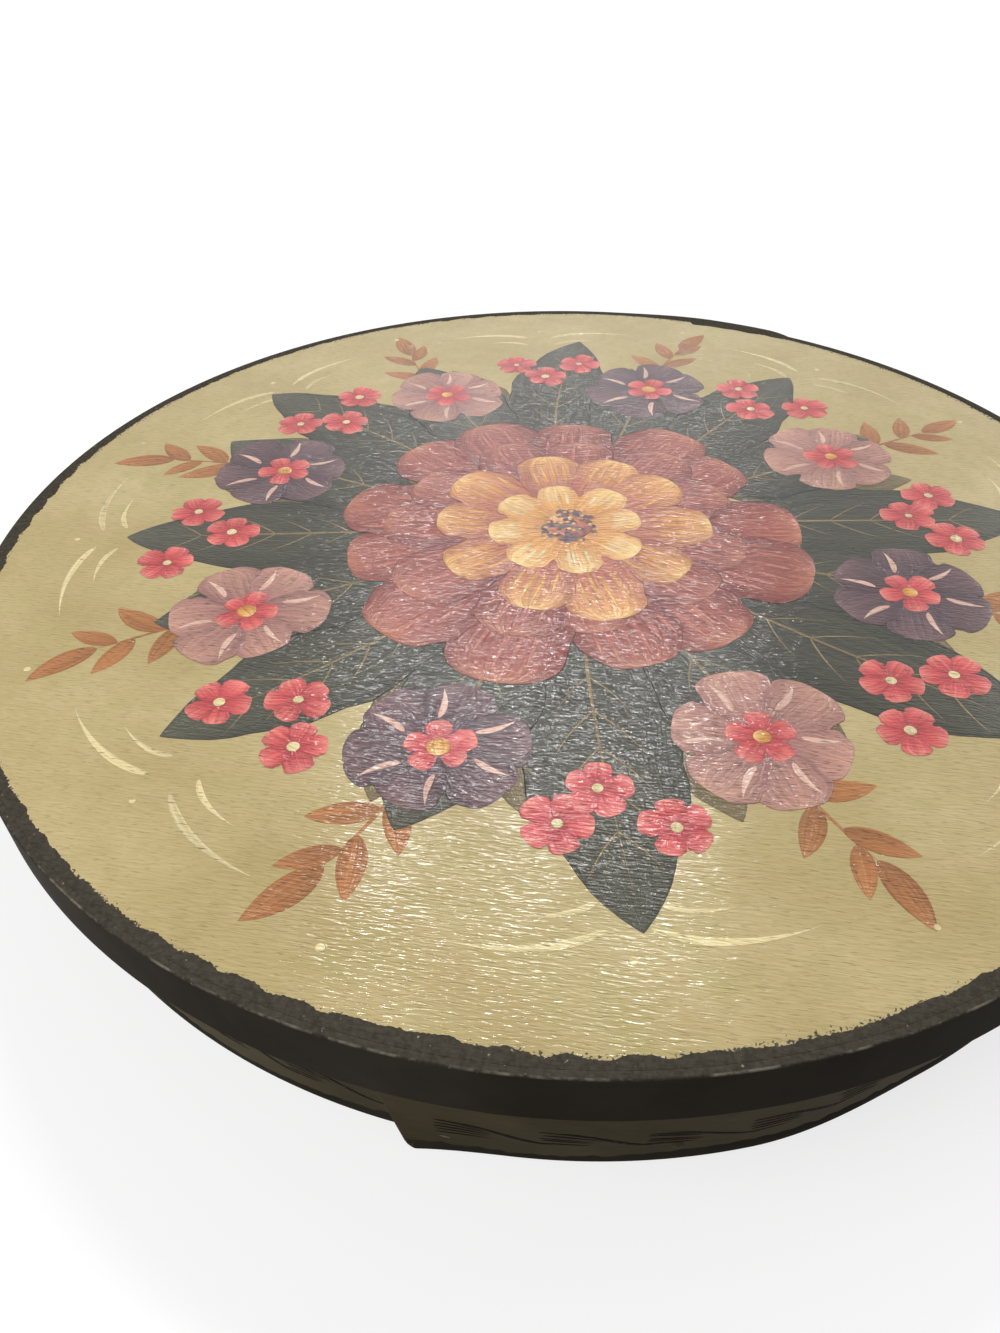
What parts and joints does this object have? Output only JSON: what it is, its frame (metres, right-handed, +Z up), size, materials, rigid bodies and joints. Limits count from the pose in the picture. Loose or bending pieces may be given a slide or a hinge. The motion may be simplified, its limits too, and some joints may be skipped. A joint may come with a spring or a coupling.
{
  "type": "cheese box",
  "caption": "Shallow round bentwood cheese box: a lapped and tacked wall hoop round a base panel, with a cap lid of panel and rim hoop that lifts straight off.",
  "frame": {"origin": "centre of the underside, where the box stands", "axes": "+Z up through the lid, -Y towards the front where the picture looks from, +X to the right seen from the front"},
  "size_m": [0.3904, 0.3904, 0.051],
  "materials": {
    "bare_board": "bare, sanded",
    "painted_wall": "khaki paint under satin varnish",
    "painted_lid": "khaki paint under satin varnish",
    "black_rim": "black paint under satin varnish",
    "tack_steel": "painted over with the box",
    "pin_steel": "plain"
  },
  "bodies": {
    "body": {"base_panel": "bare_board", "wall_band": "painted_wall", "wall_lap_tacks": "tack_steel", "base_pins": "pin_steel"},
    "lid": {"lid_panel": "painted_lid", "rim_band": "black_rim", "rim_lap_tacks": "tack_steel", "lid_pins": "pin_steel"}
  },
  "joints": [
    {"name": "lid_lift", "type": "slide", "parent": "body", "child": "lid", "axis": [0, 0, 1], "range_m": [0, 0.1]}
  ]
}
